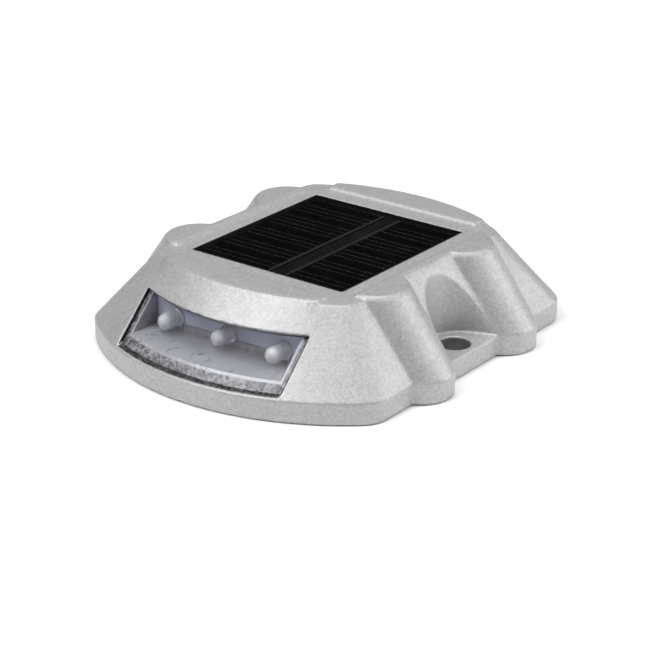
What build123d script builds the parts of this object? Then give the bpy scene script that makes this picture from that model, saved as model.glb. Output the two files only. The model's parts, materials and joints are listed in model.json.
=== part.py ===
from build123d import *
import math
import os

os.makedirs("parts", exist_ok=True)

# Solar road stud: a cast aluminium body with a solar panel in its top, an LED window at each end
# and a bolt hole in a scooped recess at each side. Millimetres. The origin is the centre of the
# underside, X runs across the two bolt lugs, Y from the front window (-Y) to the rear window, Z up.

# ---------------------------------------------------------------- driving dimensions

# Skirt: the vertical wall that stands on the road
SKIRT_HEIGHT = 6.4
NOSE_Y = 68.65
NOSE_RADIUS = 75.8
SIDE_X = 53.05
LOBE_X = 48.9
LOBE_Y = 21.6
LOBE_RADIUS = 10.05

# Plateau around the panel, and the four low pads raised on it
PLATEAU_Z = 27.8
PLATEAU_NOSE_Y = 48.2
PLATEAU_NOSE_RADIUS = 70.0
PLATEAU_SIDE_X = 36.4
PAD_HEIGHT = 0.9
PAD_INSET = 0.6
PAD_EDGE_ROUND = 0.3
NOSE_PAD_INNER_Y = 36.7
NOSE_PAD_HALF_WIDTH = 27.9
SIDE_PAD_INNER_X = 33.0
RIB_TOP_X = 32.8
RIB_TOP_Y = 21.45
RIB_TOP_RADIUS = 10.4

# Bolt lugs
BOLT_X = 46.0
BOLT_HOLE_RADIUS = 4.75
SCOOP_RADIUS = 10.1
SCOOP_DRAFT = 2.7
LOBE_EDGE_ROUND = 0.5
HOLE_RIM_ROUND = 0.4

# Panel pocket in the plateau
PANEL_WIDTH = 55.0
PANEL_LENGTH = 59.9
PANEL_GAP = 0.3
POCKET_DEPTH = 2.6
POCKET_LEDGE = 2.8
POCKET_CORNER = 3.0
PANEL_BORDER = 1.2
ADHESIVE_THICKNESS = 0.2
PANEL_BOARD_THICKNESS = 1.2
CELLS_THICKNESS = 0.3
CELL_GAP = 0.25
CELL_CUTS_Y = (-20.5, -9.8, 1.0, 14.5, 25.2)
BUS_BAND_X = 3.0
BUS_BAND_WIDTH = 5.0
BUSBAR_WIDTH = 1.2
BUSBAR_THICKNESS = 0.1
COVER_SHEET_SETBACK = 0.1

# Cavity and the recess for the base cover
CAVITY_HALF_X = 34.5
CAVITY_HALF_Y = 42.0
CAVITY_CORNER = 6.0
CAVITY_TOP_Z = 22.6
COVER_HALF_X = 38.0
COVER_HALF_Y = 52.0
COVER_CORNER = 4.0
COVER_BOTTOM_Z = 0.6
COVER_THICKNESS = 2.4
GASKET_THICKNESS = 0.8
COVER_GAP = 0.2
COVER_SCREW_X = 33.0
COVER_SCREW_Y = 47.0
COVER_SCREW_RADIUS = 1.5
COVER_SCREW_HEAD_RADIUS = 2.8
COVER_SCREW_LENGTH = 9.0
COVER_SCREW_GAP = 0.2
COUNTERSINK_ANGLE = 90
CROSS_LENGTH = 3.0
CROSS_WIDTH = 0.6
CROSS_DEPTH = 1.0

# LED windows
WINDOW_HALF_X = 29.8
WINDOW_BOTTOM_Z = 6.9
WINDOW_TOP_Z = 20.7
LENS_GAP = 0.15
LENS_SETBACK = 0.3
LENS_THICKNESS = 2.2
TRAY_HALF_X = 28.0
TRAY_BOTTOM_Z = 9.1
TRAY_TOP_Z = 20.2
TRAY_WALL = 0.7
TRAY_BACK_TOP_Z = 11.8
LED_HOLE_GAP = 0.1

# LEDs, three at each end
LED_SPACING = 19.8
LED_Z = 13.4
LED_RADIUS = 2.5
LED_LENGTH = 7.6
LED_RIM_RADIUS = 2.9
LED_RIM_THICKNESS = 1.0
LED_BOARD_Y = 46.2
LEG_RADIUS = 0.25
LEG_SPACING = 2.54
LEG_TAIL = 1.2
LED_CUP_RADIUS = 0.9
LED_CUP_DEPTH = 3.2
LED_CUP_HEIGHT = 0.9
LED_CUP_SHIFT = 0.7
LED_PLAIN_LEG_EXTRA = 0.6

# Main board, its screws and the switch under it
BOARD_THICKNESS = 1.6
MAIN_BOARD_X = 10.0
MAIN_BOARD_Z = 10.2
MAIN_BOARD_WIDTH = 44.0
MAIN_BOARD_LENGTH = 60.0
BOARD_SCREW_DX = 38.0
BOARD_SCREW_DY = 54.0
BOARD_SCREW_RADIUS = 1.2
BOARD_SCREW_LENGTH = 7.0
BOARD_SCREW_HEAD_RADIUS = 2.2
BOARD_SCREW_HEAD_HEIGHT = 1.5
BOARD_SCREW_CROSS = (2.6, 0.5, 0.8)
BOARD_CORNER = 1.5
POST_RADIUS = 3.0

# Parts on the main board: places are on the board, sizes across and up from it
CHIP_PLACE = (4, -12)
CHIP_WIDTH = 4.0
CHIP_LENGTH = 5.0
CHIP_HEIGHT = 1.5
CHIP_STANDOFF = 0.15
CHIP_EDGE = 0.25
CHIP_LEG_PITCH = 1.27
CHIP_LEG_WIDTH = 0.4
CHIP_LEG_THICKNESS = 0.2
CHIP_LEG_REACH = 1.3
CHIP_LEG_KNEE = 0.5
CHIP_LEG_TOP = 1.0
INDUCTOR_PLACE = (-3, 8)
INDUCTOR_RADIUS = 4.0
INDUCTOR_WAIST = 1.8
INDUCTOR_FLANGE = 1.0
WINDING_RADIUS = 3.5
WINDING_HEIGHT = 3.0
CAPACITOR_PLACE = (24, 12)
CAPACITOR_RADIUS = 3.15
CAPACITOR_HEIGHT = 8.0
CAPACITOR_GROOVE = 0.35
CAPACITOR_GROOVE_Z = 1.5
DIODE_PLACE = (12, 20)
DIODE_RADIUS = 1.3
DIODE_LENGTH = 5.0
DIODE_AXIS_HEIGHT = 1.4
DIODE_LEG_RADIUS = 0.35
DIODE_LEG_REACH = 2.0
DIODE_EDGE = 0.3
TRANSISTOR_PLACE = (22, -18)
TRANSISTOR_RADIUS = 2.3
TRANSISTOR_HEIGHT = 4.6
TRANSISTOR_FLAT = 1.0
TRANSISTOR_STANDOFF = 2.0
TRANSISTOR_LEG_WIDTH = 0.4
RESISTOR_PLACES = [(14, -18), (14, -14), (14, -10), (4, -20)]
RESISTOR_LENGTH = 3.2
RESISTOR_WIDTH = 1.6
RESISTOR_HEIGHT = 0.6

# Push-button switch, under the middle of the main board
SWITCH_TRAVEL = 1.2
BUTTON_RADIUS = 4.8
BUTTON_GAP = 0.3
BUTTON_FACE_Z = 1.1
BUTTON_FLANGE_RADIUS = 6.2
BUTTON_FLANGE_Z = 4.0
BUTTON_FLANGE_THICKNESS = 0.8
STEM_RADIUS = 1.4
STEM_TOP_Z = 8.0
BUTTON_EDGE = 0.5
SWITCH_BODY_WIDTH = 12.0
SWITCH_BODY_CORNER = 1.0
SWITCH_BORE_SPARE = 0.3
SEAL_WIDTH_OVER_FLANGE = 0.6
SWITCH_BODY_Z = 7.4
SWITCH_BORE_GAP = 0.05
SPRING_WIRE = 0.4
SPRING_RADIUS = 2.3
SPRING_TURNS = 2

# Battery cell
CELL_X = -22.5
CELL_RADIUS = 7.25
CELL_LENGTH = 49.2
CELL_Z = 11.6
SLEEVE_THICKNESS = 0.15
CAN_THICKNESS = 0.3
CAP_RADIUS = 2.8
CAP_HEIGHT = 1.0
CAP_DRAFT = 10
TAB_WIDTH = 5.0
TAB_HEIGHT = 9.0
TAB_CORNER = 1.0
TAB_THICKNESS = 0.2
CELL_PAD_WIDTH = 10.0
CELL_PAD_LENGTH = 40.0
CELL_PAD_TOP_Z = 6.0

WIRE_DIAMETER = 1.0
WIRE_BEND_SHARE = 0.45
FIT_GAP = 0.05

# ---------------------------------------------------------------- worked out from those

COVER_TOP_Z = COVER_BOTTOM_Z + COVER_THICKNESS
LEDGE_Z = COVER_TOP_Z + GASKET_THICKNESS
POCKET_Z = PLATEAU_Z - POCKET_DEPTH
BOARD_TOP_Z = MAIN_BOARD_Z + BOARD_THICKNESS
LED_BOARD_INNER_Y = LED_BOARD_Y - BOARD_THICKNESS
WINDOW_MID_Z = (WINDOW_BOTTOM_Z + WINDOW_TOP_Z) / 2
WINDOW_HEIGHT = WINDOW_TOP_Z - WINDOW_BOTTOM_Z
FAR = 90.0
CORNERS = [(1, 1), (1, -1), (-1, -1), (-1, 1)]
ENDS = [("front", -1), ("rear", 1)]


def draw_body_outline(nose_y, nose_radius, crease_x, knuckle, shoulder, bulge):
    """Fill the open sketch with a body section: two nose arcs, straight sides, creased corners.

    At each corner a straight run goes from the end of the nose arc, at crease_x, to the knuckle,
    and an arc of sagitta bulge goes on to the shoulder, where the straight side begins.
    """
    crease_y = nose_radius - nose_y - math.sqrt(nose_radius**2 - crease_x**2)
    knuckle_x, knuckle_y = knuckle
    shoulder_x, shoulder_y = shoulder
    with BuildLine() as half:
        ThreePointArc((-crease_x, crease_y), (0, -nose_y), (crease_x, crease_y))
        Line((crease_x, crease_y), (knuckle_x, -knuckle_y))
        SagittaArc((knuckle_x, -knuckle_y), (shoulder_x, -shoulder_y), -bulge)
        Line((shoulder_x, -shoulder_y), (shoulder_x, shoulder_y))
        SagittaArc((shoulder_x, shoulder_y), (knuckle_x, knuckle_y), -bulge)
        Line((knuckle_x, knuckle_y), (crease_x, -crease_y))
        add(half.line.rotate(Axis.Z, 180))
    make_face(half.edges())


def draw_foot_outline():
    """Fill the open sketch with the body's section at the top of the skirt."""
    draw_body_outline(NOSE_Y, NOSE_RADIUS, 48.1, (50.4, 49.4), (SIDE_X, 43.1), 0.65)


def draw_plateau_outline():
    """Fill the open sketch with the body's section at the plateau."""
    draw_body_outline(PLATEAU_NOSE_Y, PLATEAU_NOSE_RADIUS, 25.9, (34.6, 38.0), (PLATEAU_SIDE_X, 31.8), 0.4)


def draw_window(grow=0.0):
    """Fill the open sketch, on an XZ plane, with the window rectangle, larger all round by grow."""
    with Locations((0, WINDOW_MID_Z)):
        Rectangle(2 * (WINDOW_HALF_X + grow), WINDOW_HEIGHT + 2 * grow)


def wire_along(points):
    """A wire along points: straight runs joined by arcs as large as the runs beside them allow."""
    stops = [Vector(*point) for point in points]
    radii = []
    for before, here, after in zip(stops, stops[1:], stops[2:]):
        run_in = here - before
        run_out = after - here
        half_turn = math.radians(run_in.get_angle(run_out)) / 2
        radii.append(WIRE_BEND_SHARE * min(run_in.length, run_out.length) / math.tan(half_turn))
    print("wire arc radii", [round(radius, 2) for radius in radii])
    with BuildPart() as wire:
        with BuildLine() as path:
            FilletPolyline(*points, radius=radii)
        start_plane = Plane(origin=stops[0], z_dir=stops[1] - stops[0])
        with BuildSketch(start_plane):
            Circle(WIRE_DIAMETER / 2)
        sweep(path=path.line)
    return wire


# The solid under the slopes, without ribs or scoops. The lens plates are cut from it as well.
with BuildPart() as slopes:
    with BuildSketch(Plane.XY.offset(SKIRT_HEIGHT)):
        draw_foot_outline()
    with BuildSketch(Plane.XY.offset(PLATEAU_Z)):
        draw_plateau_outline()
    loft(ruled=True)

# ---------------------------------------------------------------- housing

# Straight flare of the scoop, tangent to the scoop's round back and to the lobe beside it
FLARE_ANGLE = math.acos((SCOOP_RADIUS + LOBE_RADIUS) / LOBE_Y)
FLARE_START_X = LOBE_X - SCOOP_RADIUS * math.sin(FLARE_ANGLE)
FLARE_START_Y = SCOOP_RADIUS * math.cos(FLARE_ANGLE)
FLARE_END_X = 64.0
FLARE_END_Y = FLARE_START_Y + (FLARE_END_X - FLARE_START_X) * math.tan(FLARE_ANGLE)

with BuildPart() as housing:
    add(slopes.part)

    # Four leaning ribs, round in every level section
    for side_x, side_y in CORNERS:
        with BuildSketch(Plane.XY.offset(SKIRT_HEIGHT)):
            with Locations((side_x * LOBE_X, side_y * LOBE_Y)):
                Circle(LOBE_RADIUS)
        with BuildSketch(Plane.XY.offset(PLATEAU_Z)):
            with Locations((side_x * RIB_TOP_X, side_y * RIB_TOP_Y)):
                Circle(RIB_TOP_RADIUS)
        loft(ruled=True)

    # Scoops that open the slopes above the bolt holes
    for side in (1, -1):
        with BuildSketch(Plane.XY.offset(SKIRT_HEIGHT)):
            with BuildLine():
                ThreePointArc(
                    (side * FLARE_START_X, -FLARE_START_Y),
                    (side * (LOBE_X - SCOOP_RADIUS), 0),
                    (side * FLARE_START_X, FLARE_START_Y),
                )
                Polyline(
                    (side * FLARE_START_X, FLARE_START_Y),
                    (side * FLARE_END_X, FLARE_END_Y),
                    (side * FLARE_END_X, -FLARE_END_Y),
                    (side * FLARE_START_X, -FLARE_START_Y),
                )
            make_face()
        extrude(amount=PLATEAU_Z, taper=-SCOOP_DRAFT, mode=Mode.SUBTRACT)

    # Raised pads at the noses and along the sides
    with BuildSketch(Plane.XY.offset(PLATEAU_Z)):
        with Locations((0, PLATEAU_NOSE_RADIUS - PLATEAU_NOSE_Y)):
            Circle(PLATEAU_NOSE_RADIUS - PAD_INSET)
        with Locations((0, -NOSE_PAD_INNER_Y)):
            Rectangle(2 * NOSE_PAD_HALF_WIDTH, FAR, align=(Align.CENTER, Align.MAX), mode=Mode.INTERSECT)
        mirror(about=Plane.XZ)
    extrude(amount=PAD_HEIGHT)
    with BuildSketch(Plane.XY.offset(PLATEAU_Z)):
        with Locations((SIDE_PAD_INNER_X, 0)):
            Rectangle(PLATEAU_SIDE_X - PAD_INSET - SIDE_PAD_INNER_X, 2 * LOBE_Y, align=(Align.MIN, Align.CENTER))
        with Locations((RIB_TOP_X, RIB_TOP_Y), (RIB_TOP_X, -RIB_TOP_Y)):
            Circle(RIB_TOP_RADIUS - PAD_INSET)
        with Locations((SIDE_PAD_INNER_X, 0)):
            Rectangle(FAR, FAR, align=(Align.MIN, Align.CENTER), mode=Mode.INTERSECT)
        mirror(about=Plane.YZ)
    extrude(amount=PAD_HEIGHT)

    # Skirt with its four lobes
    with BuildSketch():
        draw_foot_outline()
        with GridLocations(2 * LOBE_X, 2 * LOBE_Y, 2, 2):
            Circle(LOBE_RADIUS)
    extrude(amount=SKIRT_HEIGHT)

    # Panel pocket, and the opening under it that leaves a ledge all round
    with BuildSketch(Plane.XY.offset(POCKET_Z)):
        Rectangle(PANEL_WIDTH + 2 * PANEL_GAP, PANEL_LENGTH + 2 * PANEL_GAP)
    extrude(amount=POCKET_DEPTH + PAD_HEIGHT, mode=Mode.SUBTRACT)
    with BuildSketch(Plane.XY.offset(CAVITY_TOP_Z)):
        RectangleRounded(PANEL_WIDTH - 2 * POCKET_LEDGE, PANEL_LENGTH - 2 * POCKET_LEDGE, POCKET_CORNER)
    extrude(amount=POCKET_Z - CAVITY_TOP_Z, mode=Mode.SUBTRACT)

    # Cavity, the recess for the base cover, and the window opening through both noses
    with BuildSketch():
        RectangleRounded(2 * CAVITY_HALF_X, 2 * CAVITY_HALF_Y, CAVITY_CORNER)
    extrude(amount=CAVITY_TOP_Z, mode=Mode.SUBTRACT)
    with BuildSketch():
        RectangleRounded(2 * COVER_HALF_X, 2 * COVER_HALF_Y, COVER_CORNER)
    extrude(amount=LEDGE_Z, mode=Mode.SUBTRACT)
    with BuildSketch(Plane.XZ):
        draw_window()
    extrude(amount=FAR, both=True, mode=Mode.SUBTRACT)

    # Bolt holes
    with Locations((BOLT_X, 0, SKIRT_HEIGHT), (-BOLT_X, 0, SKIRT_HEIGHT)):
        Hole(BOLT_HOLE_RADIUS, SKIRT_HEIGHT)

    # Blind threaded holes for the cover screws
    with BuildSketch(Plane.XY.offset(LEDGE_Z)):
        with GridLocations(2 * COVER_SCREW_X, 2 * COVER_SCREW_Y, 2, 2):
            Circle(COVER_SCREW_RADIUS + FIT_GAP)
    extrude(amount=COVER_SCREW_LENGTH, mode=Mode.SUBTRACT)

    # Rounded edges: pad tops, hole rims and lobe tops
    fillet(housing.edges().group_by(Axis.Z)[-1], PAD_EDGE_ROUND)
    skirt_top = housing.edges().filter_by_position(Axis.Z, SKIRT_HEIGHT, SKIRT_HEIGHT)
    round_tops = skirt_top.filter_by(GeomType.CIRCLE)
    fillet(round_tops.filter_by(lambda edge: abs(edge.radius - BOLT_HOLE_RADIUS) < FIT_GAP), HOLE_RIM_ROUND)
    lobe_tops = round_tops.filter_by(lambda edge: abs(edge.radius - LOBE_RADIUS) < FIT_GAP)
    fillet(lobe_tops, LOBE_EDGE_ROUND)

housing.part.label = "housing"
export_step(housing.part, "parts/housing.step")

# ---------------------------------------------------------------- solar panel

ADHESIVE_TOP_Z = POCKET_Z + ADHESIVE_THICKNESS
PANEL_BOARD_TOP_Z = ADHESIVE_TOP_Z + PANEL_BOARD_THICKNESS
CELLS_TOP_Z = PANEL_BOARD_TOP_Z + CELLS_THICKNESS
BUSBARS_TOP_Z = CELLS_TOP_Z + BUSBAR_THICKNESS
CELLS_WIDTH = PANEL_WIDTH - 2 * PANEL_BORDER
CELLS_LENGTH = PANEL_LENGTH - 2 * PANEL_BORDER

# Adhesive frame on the pocket's ledge
with BuildPart() as panel_adhesive:
    with BuildSketch(Plane.XY.offset(POCKET_Z)):
        Rectangle(PANEL_WIDTH - 1, PANEL_LENGTH - 1)
        RectangleRounded(
            PANEL_WIDTH - 2 * POCKET_LEDGE,
            PANEL_LENGTH - 2 * POCKET_LEDGE,
            POCKET_CORNER,
            mode=Mode.SUBTRACT,
        )
    extrude(amount=ADHESIVE_THICKNESS)
panel_adhesive.part.label = "panel_adhesive"
export_step(panel_adhesive.part, "parts/panel_adhesive.step")

# Board that the cells are laid on
with BuildPart() as panel_board:
    with BuildSketch(Plane.XY.offset(ADHESIVE_TOP_Z)):
        Rectangle(PANEL_WIDTH, PANEL_LENGTH)
    extrude(amount=PANEL_BOARD_THICKNESS)
panel_board.part.label = "panel_board"
export_step(panel_board.part, "parts/panel_board.step")

# Two columns of silicon strips, one each side of the bus band, cut apart by narrow gaps
with BuildPart() as solar_cells:
    with BuildSketch(Plane.XY.offset(PANEL_BOARD_TOP_Z)):
        Rectangle(CELLS_WIDTH, CELLS_LENGTH)
        with Locations((BUS_BAND_X, 0)):
            Rectangle(BUS_BAND_WIDTH, CELLS_LENGTH, mode=Mode.SUBTRACT)
        with Locations([(0, y) for y in CELL_CUTS_Y]):
            Rectangle(CELLS_WIDTH, CELL_GAP, mode=Mode.SUBTRACT)
    extrude(amount=CELLS_THICKNESS)
solar_cells.part.label = "solar_cells"
export_step(solar_cells.part, "parts/solar_cells.step")

# Tabbing ribbons along the inner ends of the strips
with BuildPart() as panel_busbars:
    with BuildSketch(Plane.XY.offset(CELLS_TOP_Z)):
        with Locations((BUS_BAND_X, 0)):
            with GridLocations(BUS_BAND_WIDTH + BUSBAR_WIDTH, 0, 2, 1):
                Rectangle(BUSBAR_WIDTH, CELLS_LENGTH - 1)
    extrude(amount=BUSBAR_THICKNESS)
panel_busbars.part.label = "panel_busbars"
export_step(panel_busbars.part, "parts/panel_busbars.step")

# Clear sheet cast over cells and ribbons, down to the board
with BuildPart() as panel_cover:
    with BuildSketch(Plane.XY.offset(PANEL_BOARD_TOP_Z)):
        Rectangle(PANEL_WIDTH, PANEL_LENGTH)
    extrude(amount=PLATEAU_Z - COVER_SHEET_SETBACK - PANEL_BOARD_TOP_Z)
    add(solar_cells.part, mode=Mode.SUBTRACT)
    add(panel_busbars.part, mode=Mode.SUBTRACT)
panel_cover.part.label = "panel_cover"
export_step(panel_cover.part, "parts/panel_cover.step")

# Black bead that fills the gap between panel and pocket wall
with BuildPart() as panel_sealant:
    with BuildSketch(Plane.XY.offset(ADHESIVE_TOP_Z)):
        Rectangle(PANEL_WIDTH + 2 * PANEL_GAP, PANEL_LENGTH + 2 * PANEL_GAP)
        Rectangle(PANEL_WIDTH, PANEL_LENGTH, mode=Mode.SUBTRACT)
    extrude(amount=PLATEAU_Z - COVER_SHEET_SETBACK - ADHESIVE_TOP_Z)
panel_sealant.part.label = "panel_sealant"
export_step(panel_sealant.part, "parts/panel_sealant.step")

# ---------------------------------------------------------------- LED windows

TRAY_MID_Z = (TRAY_BOTTOM_Z + TRAY_TOP_Z) / 2
TRAY_HEIGHT = TRAY_TOP_Z - TRAY_BOTTOM_Z
LENS_BACK = LENS_SETBACK + LENS_THICKNESS
LED_X_PLACES = [-LED_SPACING, 0.0, LED_SPACING]

for end, side in ENDS:
    # The slopes moved inwards, which bound the lens plate's outer and inner faces
    outer_face = slopes.part.moved(Location((0, -side * LENS_SETBACK, 0)))
    inner_face = slopes.part.moved(Location((0, -side * LENS_BACK, 0)))
    # A sketch plane at the inner end of the window opening, drawn outwards
    window_start = Plane(origin=(0, side * LED_BOARD_Y, 0), x_dir=(-side, 0, 0), z_dir=(0, side, 0))

    # Clear plate, flush with the slope
    with BuildPart() as lens:
        with BuildSketch(window_start):
            draw_window(-LENS_GAP)
        extrude(amount=FAR)
        add(outer_face, mode=Mode.INTERSECT)
        add(inner_face, mode=Mode.SUBTRACT)
    lens.part.label = f"{end}_lens"
    export_step(lens.part, f"parts/{end}_lens.step")

    # Pale box behind the plate, open towards it. Its low back wall is notched for the LEDs.
    with BuildPart() as tray:
        with BuildSketch(window_start):
            with Locations((0, TRAY_MID_Z)):
                Rectangle(2 * TRAY_HALF_X, TRAY_HEIGHT)
        extrude(amount=FAR)
        with BuildSketch(window_start.offset(TRAY_WALL)):
            with Locations((0, TRAY_MID_Z)):
                Rectangle(2 * (TRAY_HALF_X - TRAY_WALL), TRAY_HEIGHT - 2 * TRAY_WALL)
        extrude(amount=FAR, mode=Mode.SUBTRACT)
        add(inner_face, mode=Mode.INTERSECT)
        with BuildSketch(window_start):
            with Locations((0, TRAY_BACK_TOP_Z)):
                Rectangle(
                    2 * (TRAY_HALF_X - TRAY_WALL),
                    TRAY_TOP_Z - TRAY_WALL - TRAY_BACK_TOP_Z,
                    align=(Align.CENTER, Align.MIN),
                )
            with Locations([(x, LED_Z) for x in LED_X_PLACES]):
                Circle(LED_RIM_RADIUS + LED_HOLE_GAP)
        extrude(amount=TRAY_WALL, mode=Mode.SUBTRACT)
    tray.part.label = f"{end}_light_tray"
    export_step(tray.part, f"parts/{end}_light_tray.step")

    # Dark bedding that fills the opening round the plate's edge and, behind it, round the tray
    with BuildPart() as sealant:
        with BuildSketch(window_start):
            draw_window()
            with Locations((0, TRAY_MID_Z)):
                Rectangle(2 * TRAY_HALF_X, TRAY_HEIGHT, mode=Mode.SUBTRACT)
        extrude(amount=FAR)
        add(outer_face, mode=Mode.INTERSECT)
        add(lens.part, mode=Mode.SUBTRACT)
    sealant.part.label = f"{end}_lens_sealant"
    export_step(sealant.part, f"parts/{end}_lens_sealant.step")

    # Lead frames: a plain leg and a leg that carries the reflector cup, for each LED
    with BuildPart() as frames:
        with BuildSketch(window_start.offset(-BOARD_THICKNESS - LEG_TAIL)):
            with Locations([(x + LEG_SPACING / 2, LED_Z) for x in LED_X_PLACES]):
                Circle(LEG_RADIUS)
        extrude(amount=BOARD_THICKNESS + LEG_TAIL + LED_CUP_DEPTH + LED_PLAIN_LEG_EXTRA)
        with BuildSketch(window_start.offset(-BOARD_THICKNESS - LEG_TAIL)):
            with Locations([(x - LEG_SPACING / 2, LED_Z) for x in LED_X_PLACES]):
                Circle(LEG_RADIUS)
        extrude(amount=BOARD_THICKNESS + LEG_TAIL + LED_CUP_DEPTH)
        with BuildSketch(window_start.offset(LED_CUP_DEPTH)):
            with Locations([(x - LEG_SPACING / 2 + LED_CUP_SHIFT, LED_Z) for x in LED_X_PLACES]):
                Circle(LED_CUP_RADIUS)
        extrude(amount=LED_CUP_HEIGHT)
    frames.part.label = f"{end}_led_frames"
    export_step(frames.part, f"parts/{end}_led_frames.step")

    # Clear LED bodies: rim, straight part and domed tip
    with BuildPart() as leds:
        with BuildSketch(window_start):
            with Locations([(x, LED_Z) for x in LED_X_PLACES]):
                Circle(LED_RIM_RADIUS)
        extrude(amount=LED_RIM_THICKNESS)
        with BuildSketch(window_start):
            with Locations([(x, LED_Z) for x in LED_X_PLACES]):
                Circle(LED_RADIUS)
        extrude(amount=LED_LENGTH - LED_RADIUS)
        with Locations([(x, side * (LED_BOARD_Y + LED_LENGTH - LED_RADIUS), LED_Z) for x in LED_X_PLACES]):
            Sphere(LED_RADIUS)
        add(frames.part, mode=Mode.SUBTRACT)
    leds.part.label = f"{end}_leds"
    export_step(leds.part, f"parts/{end}_leds.step")

    # Board across the inner end of the opening
    with BuildPart() as led_board:
        with BuildSketch(window_start):
            draw_window(-LENS_GAP)
            with Locations([(x, LED_Z) for x in LED_X_PLACES]):
                with GridLocations(LEG_SPACING, 0, 2, 1):
                    Circle(LEG_RADIUS + FIT_GAP, mode=Mode.SUBTRACT)
        extrude(amount=-BOARD_THICKNESS)
    led_board.part.label = f"{end}_led_board"
    export_step(led_board.part, f"parts/{end}_led_board.step")

# ---------------------------------------------------------------- base cover

POST_HEIGHT = MAIN_BOARD_Z - COVER_TOP_Z

with BuildPart() as base_cover:
    with BuildSketch(Plane.XY.offset(COVER_BOTTOM_Z)):
        RectangleRounded(2 * (COVER_HALF_X - COVER_GAP), 2 * (COVER_HALF_Y - COVER_GAP), COVER_CORNER - COVER_GAP)
    extrude(amount=COVER_THICKNESS)
    # Posts that carry the main board
    with BuildSketch(Plane.XY.offset(COVER_TOP_Z)):
        with Locations((MAIN_BOARD_X, 0)):
            with GridLocations(BOARD_SCREW_DX, BOARD_SCREW_DY, 2, 2):
                Circle(POST_RADIUS)
                Circle(BOARD_SCREW_RADIUS + FIT_GAP, mode=Mode.SUBTRACT)
    extrude(amount=POST_HEIGHT)
    # Way in for the switch button
    with BuildSketch(Plane.XY.offset(COVER_BOTTOM_Z)):
        with Locations((MAIN_BOARD_X, 0)):
            Circle(BUTTON_RADIUS + BUTTON_GAP)
    extrude(amount=COVER_THICKNESS, mode=Mode.SUBTRACT)
    # Countersunk holes for the cover screws
    with Locations(Plane(origin=(0, 0, COVER_BOTTOM_Z), x_dir=(1, 0, 0), z_dir=(0, 0, -1))):
        with GridLocations(2 * COVER_SCREW_X, 2 * COVER_SCREW_Y, 2, 2):
            CounterSinkHole(
                COVER_SCREW_RADIUS + COVER_SCREW_GAP,
                COVER_SCREW_HEAD_RADIUS + COVER_SCREW_GAP,
                depth=COVER_THICKNESS,
                counter_sink_angle=COUNTERSINK_ANGLE,
            )
base_cover.part.label = "base_cover"
export_step(base_cover.part, "parts/base_cover.step")

with BuildPart() as base_gasket:
    with BuildSketch(Plane.XY.offset(COVER_TOP_Z)):
        RectangleRounded(2 * (COVER_HALF_X - COVER_GAP), 2 * (COVER_HALF_Y - COVER_GAP), COVER_CORNER - COVER_GAP)
        RectangleRounded(2 * CAVITY_HALF_X, 2 * CAVITY_HALF_Y, CAVITY_CORNER, mode=Mode.SUBTRACT)
        with GridLocations(2 * COVER_SCREW_X, 2 * COVER_SCREW_Y, 2, 2):
            Circle(COVER_SCREW_RADIUS + COVER_SCREW_GAP, mode=Mode.SUBTRACT)
    extrude(amount=GASKET_THICKNESS)
base_gasket.part.label = "base_gasket"
export_step(base_gasket.part, "parts/base_gasket.step")

# Countersunk screws with a cross recess
with BuildPart() as cover_screws:
    with BuildSketch(Plane.XY.offset(COVER_BOTTOM_Z)):
        with GridLocations(2 * COVER_SCREW_X, 2 * COVER_SCREW_Y, 2, 2):
            Circle(COVER_SCREW_RADIUS)
    extrude(amount=COVER_SCREW_LENGTH)
    with GridLocations(2 * COVER_SCREW_X, 2 * COVER_SCREW_Y, 2, 2):
        with Locations((0, 0, COVER_BOTTOM_Z)):
            Cone(
                COVER_SCREW_HEAD_RADIUS,
                COVER_SCREW_RADIUS,
                COVER_SCREW_HEAD_RADIUS - COVER_SCREW_RADIUS,
                align=(Align.CENTER, Align.CENTER, Align.MIN),
            )
    with BuildSketch(Plane.XY.offset(COVER_BOTTOM_Z)):
        with GridLocations(2 * COVER_SCREW_X, 2 * COVER_SCREW_Y, 2, 2):
            Rectangle(CROSS_LENGTH, CROSS_WIDTH)
            Rectangle(CROSS_WIDTH, CROSS_LENGTH)
    extrude(amount=CROSS_DEPTH, mode=Mode.SUBTRACT)
cover_screws.part.label = "cover_screws"
export_step(cover_screws.part, "parts/cover_screws.step")

# ---------------------------------------------------------------- main board and its parts

with BuildPart() as main_board:
    with BuildSketch(Plane.XY.offset(MAIN_BOARD_Z)):
        with Locations((MAIN_BOARD_X, 0)):
            RectangleRounded(MAIN_BOARD_WIDTH, MAIN_BOARD_LENGTH, BOARD_CORNER)
            with GridLocations(BOARD_SCREW_DX, BOARD_SCREW_DY, 2, 2):
                Circle(BOARD_SCREW_RADIUS + FIT_GAP, mode=Mode.SUBTRACT)
    extrude(amount=BOARD_THICKNESS)
main_board.part.label = "main_board"
export_step(main_board.part, "parts/main_board.step")

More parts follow.
